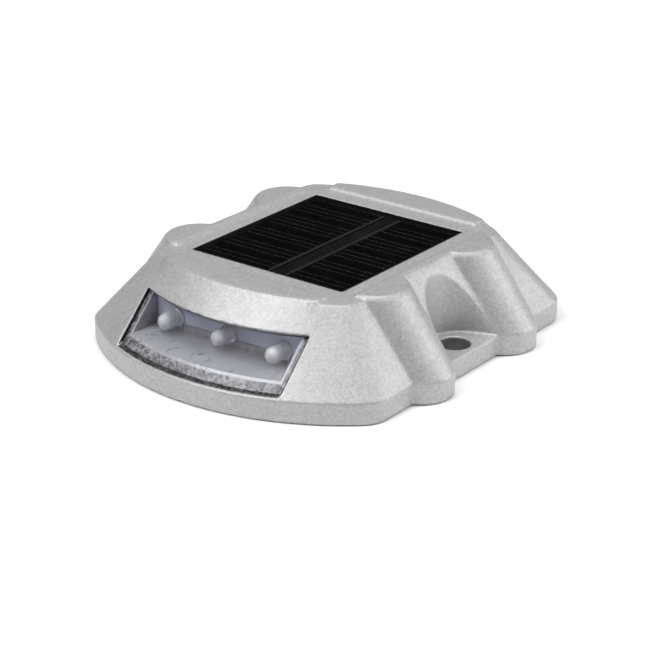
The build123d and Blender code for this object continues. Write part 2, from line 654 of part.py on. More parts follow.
# Pan-head screws into the cover's posts
SCREW_CROSS_LENGTH, SCREW_CROSS_WIDTH, SCREW_CROSS_DEPTH = BOARD_SCREW_CROSS
with BuildPart() as board_screws:
    with BuildSketch(Plane.XY.offset(BOARD_TOP_Z - BOARD_SCREW_LENGTH)):
        with Locations((MAIN_BOARD_X, 0)):
            with GridLocations(BOARD_SCREW_DX, BOARD_SCREW_DY, 2, 2):
                Circle(BOARD_SCREW_RADIUS)
    extrude(amount=BOARD_SCREW_LENGTH)
    with BuildSketch(Plane.XY.offset(BOARD_TOP_Z)):
        with Locations((MAIN_BOARD_X, 0)):
            with GridLocations(BOARD_SCREW_DX, BOARD_SCREW_DY, 2, 2):
                Circle(BOARD_SCREW_HEAD_RADIUS)
    extrude(amount=BOARD_SCREW_HEAD_HEIGHT)
    with BuildSketch(Plane.XY.offset(BOARD_TOP_Z + BOARD_SCREW_HEAD_HEIGHT - SCREW_CROSS_DEPTH)):
        with Locations((MAIN_BOARD_X, 0)):
            with GridLocations(BOARD_SCREW_DX, BOARD_SCREW_DY, 2, 2):
                Rectangle(SCREW_CROSS_LENGTH, SCREW_CROSS_WIDTH)
                Rectangle(SCREW_CROSS_WIDTH, SCREW_CROSS_LENGTH)
    extrude(amount=SCREW_CROSS_DEPTH, mode=Mode.SUBTRACT)
    fillet(board_screws.faces().filter_by(GeomType.CYLINDER).edges().group_by(Axis.Z)[-1], 0.4)
board_screws.part.label = "board_screws"
export_step(board_screws.part, "parts/board_screws.step")

# Charge controller chip
with BuildPart() as controller_chip:
    with BuildSketch(Plane.XY.offset(BOARD_TOP_Z + CHIP_STANDOFF)):
        with Locations(CHIP_PLACE):
            Rectangle(CHIP_WIDTH, CHIP_LENGTH)
    extrude(amount=CHIP_HEIGHT)
    chamfer(controller_chip.edges().group_by(Axis.Z)[-1], CHIP_EDGE)
controller_chip.part.label = "controller_chip"
export_step(controller_chip.part, "parts/controller_chip.step")

# Its eight bent legs, standing on the board
with BuildPart() as chip_legs:
    for chip_side in (1, -1):
        leg_plane = Plane(origin=(*CHIP_PLACE, 0), x_dir=(chip_side, 0, 0), z_dir=(0, -chip_side, 0))
        for leg_row in (-1.5, -0.5, 0.5, 1.5):
            with BuildSketch(leg_plane.offset(leg_row * CHIP_LEG_PITCH - CHIP_LEG_WIDTH / 2)):
                with Locations((CHIP_WIDTH / 2, BOARD_TOP_Z + CHIP_LEG_TOP)):
                    Rectangle(
                        CHIP_LEG_KNEE + CHIP_LEG_THICKNESS, CHIP_LEG_THICKNESS, align=(Align.MIN, Align.MAX)
                    )
                with Locations((CHIP_WIDTH / 2 + CHIP_LEG_KNEE, BOARD_TOP_Z)):
                    Rectangle(CHIP_LEG_THICKNESS, CHIP_LEG_TOP, align=(Align.MIN, Align.MIN))
                    Rectangle(CHIP_LEG_REACH - CHIP_LEG_KNEE, CHIP_LEG_THICKNESS, align=(Align.MIN, Align.MIN))
            extrude(amount=CHIP_LEG_WIDTH)
chip_legs.part.label = "chip_legs"
export_step(chip_legs.part, "parts/chip_legs.step")

# Drum-core inductor: two flanges with the winding between them
with BuildPart() as inductor_core:
    with Locations((*INDUCTOR_PLACE, BOARD_TOP_Z)):
        for level, radius, height in (
            (0, INDUCTOR_RADIUS, INDUCTOR_FLANGE),
            (INDUCTOR_FLANGE, INDUCTOR_WAIST, WINDING_HEIGHT),
            (INDUCTOR_FLANGE + WINDING_HEIGHT, INDUCTOR_RADIUS, INDUCTOR_FLANGE),
        ):
            with Locations((0, 0, level)):
                Cylinder(radius, height, align=(Align.CENTER, Align.CENTER, Align.MIN))
inductor_core.part.label = "inductor_core"
export_step(inductor_core.part, "parts/inductor_core.step")

with BuildPart() as inductor_winding:
    with BuildSketch(Plane.XY.offset(BOARD_TOP_Z + INDUCTOR_FLANGE)):
        with Locations(INDUCTOR_PLACE):
            Circle(WINDING_RADIUS)
            Circle(INDUCTOR_WAIST, mode=Mode.SUBTRACT)
    extrude(amount=WINDING_HEIGHT)
inductor_winding.part.label = "inductor_winding"
export_step(inductor_winding.part, "parts/inductor_winding.step")

# Electrolytic capacitor: can with a rolled groove near its foot and a bevelled top
with BuildPart() as capacitor:
    with BuildSketch(Plane(origin=(*CAPACITOR_PLACE, BOARD_TOP_Z), z_dir=(0, -1, 0), x_dir=(1, 0, 0))):
        with BuildLine():
            Polyline(
                (0, 0),
                (CAPACITOR_RADIUS, 0),
                (CAPACITOR_RADIUS, CAPACITOR_GROOVE_Z - CAPACITOR_GROOVE),
                (CAPACITOR_RADIUS - CAPACITOR_GROOVE, CAPACITOR_GROOVE_Z),
                (CAPACITOR_RADIUS, CAPACITOR_GROOVE_Z + CAPACITOR_GROOVE),
                (CAPACITOR_RADIUS, CAPACITOR_HEIGHT - CAPACITOR_GROOVE),
                (CAPACITOR_RADIUS - CAPACITOR_GROOVE, CAPACITOR_HEIGHT),
                (0, CAPACITOR_HEIGHT),
                close=True,
            )
        make_face()
    revolve(axis=Axis((*CAPACITOR_PLACE, 0), (0, 0, 1)))
capacitor.part.label = "capacitor"
export_step(capacitor.part, "parts/capacitor.step")

# Blocking diode, lying on the board on its two bent legs
diode_middle = Vector(*DIODE_PLACE, BOARD_TOP_Z + DIODE_AXIS_HEIGHT)
with BuildPart() as diode:
    with Locations(Location(diode_middle, (0, 90, 0))):
        Cylinder(DIODE_RADIUS, DIODE_LENGTH)
        fillet(diode.edges(), DIODE_EDGE)
diode.part.label = "diode"
export_step(diode.part, "parts/diode.step")

with BuildPart() as diode_legs:
    for leg_side in (1, -1):
        leg_start = diode_middle + Vector(leg_side * DIODE_LENGTH / 2, 0, 0)
        leg_knee = leg_start + Vector(leg_side * DIODE_LEG_REACH, 0, 0)
        with BuildLine():
            FilletPolyline(leg_start, leg_knee, leg_knee - Vector(0, 0, DIODE_AXIS_HEIGHT), radius=0.6)
        with BuildSketch(Plane(origin=leg_start, z_dir=(leg_side, 0, 0))):
            Circle(DIODE_LEG_RADIUS)
        sweep()
diode_legs.part.label = "diode_legs"
export_step(diode_legs.part, "parts/diode_legs.step")

# Light-sensing transistor in a flat-sided case on three legs
with BuildPart() as transistor:
    with BuildSketch(Plane.XY.offset(BOARD_TOP_Z + TRANSISTOR_STANDOFF)):
        with Locations(TRANSISTOR_PLACE):
            Circle(TRANSISTOR_RADIUS)
            with Locations((0, -TRANSISTOR_RADIUS)):
                Rectangle(
                    2 * TRANSISTOR_RADIUS, TRANSISTOR_FLAT, align=(Align.CENTER, Align.MIN), mode=Mode.SUBTRACT
                )
    extrude(amount=TRANSISTOR_HEIGHT)
transistor.part.label = "transistor"
export_step(transistor.part, "parts/transistor.step")

with BuildPart() as transistor_legs:
    with BuildSketch(Plane.XY.offset(BOARD_TOP_Z)):
        with Locations(TRANSISTOR_PLACE):
            with GridLocations(LEG_SPACING / 2, 0, 3, 1):
                Rectangle(TRANSISTOR_LEG_WIDTH, TRANSISTOR_LEG_WIDTH)
    extrude(amount=TRANSISTOR_STANDOFF)
transistor_legs.part.label = "transistor_legs"
export_step(transistor_legs.part, "parts/transistor_legs.step")

# Chip resistors, one per LED string and two dividers
with BuildPart() as resistors:
    with BuildSketch(Plane.XY.offset(BOARD_TOP_Z)):
        with Locations(RESISTOR_PLACES):
            Rectangle(RESISTOR_LENGTH, RESISTOR_WIDTH)
    extrude(amount=RESISTOR_HEIGHT)
resistors.part.label = "resistors"
export_step(resistors.part, "parts/resistors.step")

# ---------------------------------------------------------------- battery cell

CELL_START_Y = -CELL_LENGTH / 2


def cell_slice(y):
    """A sketch plane across the cell at y, drawn towards +Y."""
    return Plane(origin=(CELL_X, y, CELL_Z), x_dir=(-1, 0, 0), z_dir=(0, 1, 0))


with BuildPart() as battery_core:
    with BuildSketch(cell_slice(CELL_START_Y + CAN_THICKNESS)):
        Circle(CELL_RADIUS - SLEEVE_THICKNESS - CAN_THICKNESS)
    extrude(amount=CELL_LENGTH - 2 * CAN_THICKNESS)
battery_core.part.label = "battery_core"
export_step(battery_core.part, "parts/battery_core.step")

with BuildPart() as battery_can:
    with BuildSketch(cell_slice(CELL_START_Y)):
        Circle(CELL_RADIUS - SLEEVE_THICKNESS)
    extrude(amount=CELL_LENGTH)
    add(battery_core.part, mode=Mode.SUBTRACT)
battery_can.part.label = "battery_can"
export_step(battery_can.part, "parts/battery_can.step")

with BuildPart() as battery_sleeve:
    with BuildSketch(cell_slice(CELL_START_Y)):
        Circle(CELL_RADIUS)
        Circle(CELL_RADIUS - SLEEVE_THICKNESS, mode=Mode.SUBTRACT)
    extrude(amount=CELL_LENGTH)
battery_sleeve.part.label = "battery_sleeve"
export_step(battery_sleeve.part, "parts/battery_sleeve.step")

with BuildPart() as battery_cap:
    with BuildSketch(cell_slice(CELL_START_Y + CELL_LENGTH)):
        Circle(CAP_RADIUS)
    extrude(amount=CAP_HEIGHT, taper=CAP_DRAFT)
battery_cap.part.label = "battery_cap"
export_step(battery_cap.part, "parts/battery_cap.step")

# Nickel strips welded to both ends
with BuildPart() as battery_tabs:
    with BuildSketch(cell_slice(CELL_START_Y)):
        RectangleRounded(TAB_WIDTH, TAB_HEIGHT, TAB_CORNER)
    extrude(amount=-TAB_THICKNESS)
    with BuildSketch(cell_slice(CELL_START_Y + CELL_LENGTH + CAP_HEIGHT)):
        RectangleRounded(TAB_WIDTH, TAB_HEIGHT, TAB_CORNER)
    extrude(amount=TAB_THICKNESS)
battery_tabs.part.label = "battery_tabs"
export_step(battery_tabs.part, "parts/battery_tabs.step")

# Foam strip on the cover, hollowed to cradle the cell
with BuildPart() as battery_pad:
    with BuildSketch(Plane.XY.offset(COVER_TOP_Z)):
        with Locations((CELL_X, 0)):
            Rectangle(CELL_PAD_WIDTH, CELL_PAD_LENGTH)
    extrude(amount=CELL_PAD_TOP_Z - COVER_TOP_Z)
    with BuildSketch(cell_slice(CELL_START_Y)):
        Circle(CELL_RADIUS)
    extrude(amount=CELL_LENGTH, mode=Mode.SUBTRACT)
battery_pad.part.label = "battery_pad"
export_step(battery_pad.part, "parts/battery_pad.step")

# ---------------------------------------------------------------- push-button switch

with BuildPart() as switch_body:
    with BuildSketch(Plane.XY.offset(SWITCH_BODY_Z)):
        with Locations((MAIN_BOARD_X, 0)):
            RectangleRounded(SWITCH_BODY_WIDTH, SWITCH_BODY_WIDTH, SWITCH_BODY_CORNER)
    extrude(amount=MAIN_BOARD_Z - SWITCH_BODY_Z)
    with BuildSketch(Plane.XY.offset(SWITCH_BODY_Z)):
        with Locations((MAIN_BOARD_X, 0)):
            Circle(STEM_RADIUS + SWITCH_BORE_GAP)
    extrude(amount=STEM_TOP_Z + SWITCH_TRAVEL + SWITCH_BORE_SPARE - SWITCH_BODY_Z, mode=Mode.SUBTRACT)
switch_body.part.label = "switch_body"
export_step(switch_body.part, "parts/switch_body.step")

# Button: round cap in the cover's hole, a flange that keeps it in, and the stem
with BuildPart() as switch_button:
    with Locations((MAIN_BOARD_X, 0, 0)):
        with Locations((0, 0, BUTTON_FACE_Z)):
            Cylinder(BUTTON_RADIUS, BUTTON_FLANGE_Z - BUTTON_FACE_Z, align=(Align.CENTER, Align.CENTER, Align.MIN))
        with Locations((0, 0, BUTTON_FLANGE_Z)):
            Cylinder(BUTTON_FLANGE_RADIUS, BUTTON_FLANGE_THICKNESS, align=(Align.CENTER, Align.CENTER, Align.MIN))
            Cylinder(STEM_RADIUS, STEM_TOP_Z - BUTTON_FLANGE_Z, align=(Align.CENTER, Align.CENTER, Align.MIN))
    fillet(switch_button.edges().group_by(Axis.Z)[0], BUTTON_EDGE)
switch_button.part.label = "switch_button"
export_step(switch_button.part, "parts/switch_button.step")

# Return spring between the flange and the switch body
SPRING_BOTTOM_Z = BUTTON_FLANGE_Z + BUTTON_FLANGE_THICKNESS + SPRING_WIRE / 2
SPRING_SPAN = SWITCH_BODY_Z - SPRING_WIRE / 2 - SPRING_BOTTOM_Z
with BuildPart() as switch_spring:
    with BuildLine(Plane(origin=(MAIN_BOARD_X, 0, SPRING_BOTTOM_Z))) as coil:
        Helix(pitch=SPRING_SPAN / SPRING_TURNS, height=SPRING_SPAN, radius=SPRING_RADIUS)
    with BuildSketch(Plane(origin=coil.line @ 0, z_dir=coil.line % 0)):
        Circle(SPRING_WIRE / 2)
    sweep(path=coil.line, is_frenet=True)
switch_spring.part.label = "switch_spring"
export_step(switch_spring.part, "parts/switch_spring.step")

# Flat seal ring between the flange and the cover
with BuildPart() as switch_seal:
    with BuildSketch(Plane.XY.offset(COVER_TOP_Z)):
        with Locations((MAIN_BOARD_X, 0)):
            Circle(BUTTON_FLANGE_RADIUS + SEAL_WIDTH_OVER_FLANGE)
            Circle(BUTTON_RADIUS + BUTTON_GAP, mode=Mode.SUBTRACT)
    extrude(amount=BUTTON_FLANGE_Z - COVER_TOP_Z - FIT_GAP)
switch_seal.part.label = "switch_seal"
export_step(switch_seal.part, "parts/switch_seal.step")

# ---------------------------------------------------------------- wires

# From the panel board down to the main board
panel_wire_red = wire_along([(14, 4, ADHESIVE_TOP_Z), (14, 4, 20.8), (20, -3, 17.2), (20, -3, BOARD_TOP_Z)])
panel_wire_red.part.label = "panel_wire_red"
export_step(panel_wire_red.part, "parts/panel_wire_red.step")

panel_wire_black = wire_along([(18, 6, ADHESIVE_TOP_Z), (18, 6, 20.8), (24, -1, 17.2), (24, -1, BOARD_TOP_Z)])
panel_wire_black.part.label = "panel_wire_black"
export_step(panel_wire_black.part, "parts/panel_wire_black.step")

# From the cell's end tabs round to the main board
battery_wire_black = wire_along(
    [
        (CELL_X, CELL_START_Y - TAB_THICKNESS, CELL_Z),
        (CELL_X, -31.5, CELL_Z),
        (-17.5, -36.5, 14.5),
        (-9.5, -36, 18.0),
        (-4, -31, 18.5),
        (-3, -25, 17.0),
        (-3, -25, BOARD_TOP_Z),
    ]
)
battery_wire_black.part.label = "battery_wire_black"
export_step(battery_wire_black.part, "parts/battery_wire_black.step")

battery_wire_red = wire_along(
    [
        (CELL_X, CELL_START_Y + CELL_LENGTH + CAP_HEIGHT + TAB_THICKNESS, CELL_Z),
        (CELL_X, 32.5, CELL_Z),
        (-17.5, 37, 14.5),
        (-9.5, 36.5, 18.0),
        (-4, 31, 18.5),
        (-3, 25, 17.0),
        (-3, 25, BOARD_TOP_Z),
    ]
)
battery_wire_red.part.label = "battery_wire_red"
export_step(battery_wire_red.part, "parts/battery_wire_red.step")

# From each LED board up over the edge of the main board
for end, side in ENDS:
    for colour, x in (("red", 5), ("black", 9)):
        led_wire = wire_along(
            [
                (x, side * LED_BOARD_INNER_Y, 15),
                (x, side * 39.5, 15),
                (x + 0.5, side * 33.5, 17.5),
                (x + 1, side * 27, 17.5),
                (x + 1, side * 24.5, BOARD_TOP_Z + 4.5),
                (x + 1, side * 24.5, BOARD_TOP_Z),
            ]
        )
        led_wire.part.label = f"{end}_led_wire_{colour}"
        export_step(led_wire.part, f"parts/{end}_led_wire_{colour}.step")
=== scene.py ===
import json
import math
import random

import bmesh
import bpy
from mathutils import Matrix, Vector


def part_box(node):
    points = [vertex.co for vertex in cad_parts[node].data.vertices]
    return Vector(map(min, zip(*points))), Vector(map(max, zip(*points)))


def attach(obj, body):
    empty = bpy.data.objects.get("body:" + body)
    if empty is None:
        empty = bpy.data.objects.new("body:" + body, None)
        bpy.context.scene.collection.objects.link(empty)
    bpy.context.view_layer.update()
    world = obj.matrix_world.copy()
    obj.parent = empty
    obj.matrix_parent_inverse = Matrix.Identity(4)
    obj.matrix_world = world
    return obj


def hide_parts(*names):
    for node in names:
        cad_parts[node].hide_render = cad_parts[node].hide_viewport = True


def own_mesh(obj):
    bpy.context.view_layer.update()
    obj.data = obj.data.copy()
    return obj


# Solar road stud: a cast aluminium body with a solar panel in its top, an LED window at each end
# and a bolt hole in a scooped lug at each side. Metres. X runs across the bolt lugs, Y from the
# front window (-Y) to the rear one, Z up from the road.

MM = 0.001
STUD = "stud"

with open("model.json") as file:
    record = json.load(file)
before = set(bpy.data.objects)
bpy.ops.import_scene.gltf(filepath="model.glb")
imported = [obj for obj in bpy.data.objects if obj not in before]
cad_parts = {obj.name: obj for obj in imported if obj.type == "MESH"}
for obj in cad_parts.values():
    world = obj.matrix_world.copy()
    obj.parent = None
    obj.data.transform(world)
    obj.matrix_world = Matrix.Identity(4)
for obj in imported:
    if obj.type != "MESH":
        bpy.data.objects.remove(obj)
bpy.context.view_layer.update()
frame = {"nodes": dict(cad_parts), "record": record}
nodes = frame["nodes"]
randomness = random.Random(7)

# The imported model's own materials go, so that the ones made here keep their plain names
for imported in list(bpy.data.materials):
    bpy.data.materials.remove(imported)


# ---------------------------------------------------------------- materials


class Shading:
    """A material with one Principled shader, and short calls for the nodes that feed it."""

    def __init__(self, name, color=(0.5, 0.5, 0.5), **sockets):
        self.material = bpy.data.materials.new(name)
        self.material.use_nodes = True
        self.tree = self.material.node_tree
        self.shader = self.tree.nodes["Principled BSDF"]
        self.output = self.tree.nodes["Material Output"]
        self.shader.inputs["Base Color"].default_value = (*color, 1)
        for socket, value in sockets.items():
            self.shader.inputs[socket.replace("_", " ")].default_value = value
        self.coordinates = None

    def node(self, kind, **settings):
        made = self.tree.nodes.new(kind)
        for name, value in settings.items():
            setattr(made, name, value)
        return made

    def link(self, source, target):
        """Links an output to an input, or sets the input to a number."""
        if hasattr(source, "is_output"):
            self.tree.links.new(source, target)
        else:
            target.default_value = source

    def place(self, stretch=(1, 1, 1)):
        """The object's own coordinates in metres, stretched along each axis."""
        if self.coordinates is None:
            self.coordinates = self.node("ShaderNodeTexCoord").outputs["Object"]
        if stretch == (1, 1, 1):
            return self.coordinates
        mapping = self.node("ShaderNodeMapping")
        mapping.inputs["Scale"].default_value = stretch
        self.link(self.coordinates, mapping.inputs["Vector"])
        return mapping.outputs["Vector"]

    def noise(self, size, detail=2.0, roughness=0.5, stretch=(1, 1, 1), warp=0.0):
        """Soft noise from 0 to 1 whose blobs are about size metres across."""
        made = self.node("ShaderNodeTexNoise")
        made.inputs["Scale"].default_value = 1 / size
        made.inputs["Detail"].default_value = detail
        made.inputs["Roughness"].default_value = roughness
        made.inputs["Distortion"].default_value = warp
        self.link(self.place(stretch), made.inputs["Vector"])
        return made.outputs["Fac"]

    def cells(self, size, feature="F1", output="Distance", stretch=(1, 1, 1)):
        """Voronoi cells about size metres across."""
        made = self.node("ShaderNodeTexVoronoi", feature=feature)
        made.inputs["Scale"].default_value = 1 / size
        self.link(self.place(stretch), made.inputs["Vector"])
        return made.outputs[output]

    def ramp(self, value, *stops):
        """Maps a value through (position, grey or colour) stops."""
        made = self.node("ShaderNodeValToRGB")
        elements = made.color_ramp.elements
        while len(elements) < len(stops):
            elements.new(0.5)
        for element, (position, color) in zip(elements, stops):
            element.position = position
            element.color = (*color, 1) if isinstance(color, tuple) else (color, color, color, 1)
        self.link(value, made.inputs["Fac"])
        return made.outputs["Color"]

    def remap(self, value, low, high, to_low, to_high):
        made = self.node("ShaderNodeMapRange")
        ends = {"From Min": low, "From Max": high, "To Min": to_low, "To Max": to_high}
        for socket, number in ends.items():
            made.inputs[socket].default_value = number
        self.link(value, made.inputs["Value"])
        return made.outputs["Result"]

    def math(self, operation, first, second):
        made = self.node("ShaderNodeMath", operation=operation)
        self.link(first, made.inputs[0])
        self.link(second, made.inputs[1])
        return made.outputs[0]

    def mix(self, share, first, second, blend="MIX"):
        """Mixes two colours, each a socket or a tuple."""
        made = self.node("ShaderNodeMix", data_type="RGBA", blend_type=blend)
        self.link(share, made.inputs[0])
        for socket, color in ((made.inputs[6], first), (made.inputs[7], second)):
            self.link((*color, 1) if isinstance(color, tuple) else color, socket)
        return made.outputs[2]

    def color(self, source):
        self.link(source, self.shader.inputs["Base Color"])

    def roughness(self, value, low, high, to_low, to_high):
        self.link(self.remap(value, low, high, to_low, to_high), self.shader.inputs["Roughness"])

    def bump(self, height, depth):
        """Adds a bump whose full height is depth metres; calls stack."""
        made = self.node("ShaderNodeBump")
        made.inputs["Distance"].default_value = depth
        self.link(height, made.inputs["Height"])
        before = self.shader.inputs["Normal"]
        if before.is_linked:
            self.link(before.links[0].from_socket, made.inputs["Normal"])
        self.link(made.outputs["Normal"], before)

    def pass_lamps(self, share=0.9):
        """Lets a share of the lamp light through glass, so that what is behind it is lit."""
        clear = self.node("ShaderNodeBsdfTransparent")
        clear.inputs["Color"].default_value = (share, share, share, 1)
        chooser = self.node("ShaderNodeMixShader")
        path = self.node("ShaderNodeLightPath")
        self.link(path.outputs["Is Shadow Ray"], chooser.inputs[0])
        self.link(self.shader.outputs[0], chooser.inputs[1])
        self.link(clear.outputs[0], chooser.inputs[2])
        self.link(chooser.outputs[0], self.output.inputs["Surface"])


def aluminium():
    """Die-cast aluminium under thin silver paint: flake speckle, faint mottling, edges lighter from
    rubbing and a painted highlight, painted shade in creases and bolt holes.
    """
    s = Shading("cast_aluminium", Metallic=0.45, Roughness=0.5)
    flake = s.cells(0.6 * MM, output="Color")
    grain = s.noise(0.55 * MM, detail=3.0, roughness=0.7)
    mottle = s.noise(9 * MM, detail=4.0, roughness=0.6)
    shade = s.mix(0.45, s.ramp(flake, (0.0, 0.34), (1.0, 0.68)), s.ramp(grain, (0.3, 0.33), (0.7, 0.70)))
    shade = s.mix(0.30, shade, s.ramp(mottle, (0.3, 0.44), (0.7, 0.56)))
    edge = s.node("ShaderNodeNewGeometry").outputs["Pointiness"]
    # Convex edges lighter: partly rubbed paint, partly a painted highlight along them.
    shade = s.mix(s.remap(edge, 0.53, 0.58, 0.0, 0.18), shade, (0.72, 0.72, 0.73))
    # Concave creases and hollows darker: painted shade.
    shade = s.mix(s.remap(edge, 0.40, 0.47, 0.75, 0.0), shade, (0.16, 0.16, 0.17))
    # Bolt hole walls dark grey: painted shade inside the holes.
    shade = s.mix(bore_share(s), shade, (0.20, 0.20, 0.205))
    s.color(s.mix(1.0, shade, (0.92, 0.925, 0.935), "MULTIPLY"))
    s.roughness(grain, 0.3, 0.7, 0.40, 0.58)
    s.bump(grain, 0.07 * MM)
    s.bump(s.noise(2.2 * MM, detail=2.0), 0.08 * MM)
    return s.material


BOLT_X = 46 * MM
BOLT_RADIUS = 4.75 * MM
BOLT_RIM = 0.25 * MM


def bore_share(s):
    """Nearly 1 inside the two bolt holes, 0 elsewhere, where painted shade darkens their walls."""
    parts = s.node("ShaderNodeSeparateXYZ")
    s.link(s.place(), parts.inputs[0])
    off = s.math("SUBTRACT", s.math("ABSOLUTE", parts.outputs["X"], 0), BOLT_X)
    x_square = s.math("MULTIPLY", off, off)
    y_square = s.math("MULTIPLY", parts.outputs["Y"], parts.outputs["Y"])
    distance = s.math("SQRT", s.math("ADD", x_square, y_square), 0)
    return s.remap(distance, BOLT_RADIUS, BOLT_RADIUS + BOLT_RIM, 0.95, 0.0)


def clear_resin():
    """The clear sheet over the cells, with dust. Its IOR is set near 1, so it hardly mirrors the lamps."""
    s = Shading("clear_resin", (0.95, 0.95, 0.93), Transmission_Weight=1.0, Roughness=0.12, IOR=1.02)
    dust = s.noise(0.9 * MM, detail=6.0, roughness=0.75)
    s.roughness(dust, 0.45, 0.8, 0.08, 0.4)
    s.bump(s.noise(14 * MM, detail=1.0), 0.02 * MM)
    s.pass_lamps()
    return s.material


def silicon():
    """Near-black cells with a faint blue-violet grain."""
    s = Shading("silicon", Roughness=0.45, Specular_IOR_Level=0.08)
    grain = s.noise(1.6 * MM, detail=5.0, stretch=(0.25, 1, 1))
    s.color(s.ramp(grain, (0.3, (0.0016, 0.0015, 0.0019)), (0.75, (0.0034, 0.0032, 0.0038))))
    s.roughness(grain, 0.3, 0.7, 0.35, 0.55)
    return s.material


def printed_lines():
    """Dull brown collecting lines printed on the cells."""
    s = Shading("printed_lines", Roughness=0.6, Specular_IOR_Level=0.2)
    grain = s.noise(0.8 * MM, detail=4.0)
    s.color(s.ramp(grain, (0.3, (0.007, 0.006, 0.0055)), (0.7, (0.014, 0.012, 0.011))))
    return s.material


def plain(name, dark, light, size, rough=(0.4, 0.55), depth=0.01, **sockets):
    """A moulded or coated surface: two close colours in soft grain, uneven gloss, fine bump."""
    s = Shading(name, **sockets)
    grain = s.noise(size, detail=4.0, roughness=0.6)
    s.color(s.ramp(grain, (0.3, dark), (0.7, light)))
    s.roughness(grain, 0.3, 0.7, *rough)
    s.bump(s.noise(size / 4, detail=2.0), depth * MM)
    return s.material


def board(name, dark, light):
    """Circuit board: solder mask with the glass weave showing faintly through it."""
    s = Shading(name, Roughness=0.35)
    weave = s.node("ShaderNodeTexWave", wave_type="BANDS", bands_direction="X")
    weave.inputs["Scale"].default_value = 350
    s.link(s.place(), weave.inputs["Vector"])
    cross = s.node("ShaderNodeTexWave", wave_type="BANDS", bands_direction="Y")
    cross.inputs["Scale"].default_value = 350
    s.link(s.place(), cross.inputs["Vector"])
    threads = s.math("ADD", weave.outputs["Fac"], cross.outputs["Fac"])
    blotch = s.noise(7 * MM, detail=3.0)
    s.color(s.mix(s.remap(threads, 0.0, 2.0, 0.0, 0.25), s.ramp(blotch, (0.3, dark), (0.7, light)), light))
    s.roughness(blotch, 0.3, 0.7, 0.28, 0.42)
    s.bump(threads, 0.01 * MM)
    return s.material


def window_plate():
    """Clear acrylic with moulding waves and smears. Its IOR is low, so it hardly mirrors the lamps."""
    s = Shading("clear_lens", (0.90, 0.905, 0.92), Transmission_Weight=1.0, Roughness=0.06, IOR=1.1)
    smear = s.noise(5 * MM, detail=5.0, roughness=0.6, stretch=(1, 1, 2.5), warp=0.8)
    s.roughness(smear, 0.4, 0.75, 0.02, 0.12)
    s.bump(s.noise(6 * MM, detail=2.0, warp=0.5), 0.08 * MM)
    s.pass_lamps(0.74)
    return s.material


def led_epoxy():
    """Clear epoxy gone milky."""
    s = Shading("led_epoxy", (0.80, 0.80, 0.86), Transmission_Weight=0.55, Roughness=0.12, IOR=1.5)
    haze = s.noise(1.1 * MM, detail=3.0)
    s.color(s.ramp(haze, (0.3, (0.68, 0.68, 0.73)), (0.7, (0.94, 0.94, 0.97))))
    s.roughness(haze, 0.4, 0.7, 0.06, 0.22)
    s.bump(haze, 0.03 * MM)
    s.pass_lamps(0.8)
    return s.material


def tray_plastic():
    """Pale grey moulded tray, glossy in places, with smears of adhesive."""
    s = Shading("tray_plastic", Metallic=0.2, Roughness=0.35)
    smear = s.noise(4 * MM, detail=5.0, roughness=0.65, stretch=(1.6, 0.7, 1), warp=1.2)
    dull, middle, pale = (0.25, 0.252, 0.275), (0.32, 0.32, 0.34), (0.42, 0.42, 0.43)
    s.color(s.ramp(smear, (0.3, dull), (0.55, middle), (0.8, pale)))
    s.roughness(smear, 0.3, 0.7, 0.22, 0.5)
    s.bump(s.noise(0.7 * MM, detail=3.0), 0.02 * MM)
    return s.material


def sealant(name, dark, light):
    """Glossy sealant with trapped bubbles and dirt."""
    s = Shading(name, Roughness=0.25)
    dirt = s.noise(1.1 * MM, detail=5.0, roughness=0.7)
    patch = s.noise(4 * MM, detail=3.0)
    bubbles = s.cells(0.8 * MM)
    shade = s.ramp(dirt, (0.35, dark), (0.62, light))
    shade = s.mix(s.remap(patch, 0.4, 0.65, 0.0, 0.6), shade, dark)
    shade = s.mix(s.remap(bubbles, 0.10, 0.18, 0.5, 0.0), shade, (0.5, 0.5, 0.5))
    s.color(shade)
    s.roughness(dirt, 0.3, 0.7, 0.12, 0.45)
    s.bump(dirt, 0.12 * MM)
    return s.material


def metal(name, color, rough=0.3, size=0.8, stretch=(1, 1, 1)):
    s = Shading(name, color, Metallic=1.0, Roughness=rough)
    wear = s.noise(size * MM, detail=4.0, roughness=0.65, stretch=stretch)
    dull = tuple(0.6 * c for c in color)
    s.color(s.ramp(wear, (0.3, dull), (0.6, color)))
    s.roughness(wear, 0.3, 0.7, rough - 0.1, rough + 0.15)
    s.bump(wear, 0.01 * MM)
    return s.material


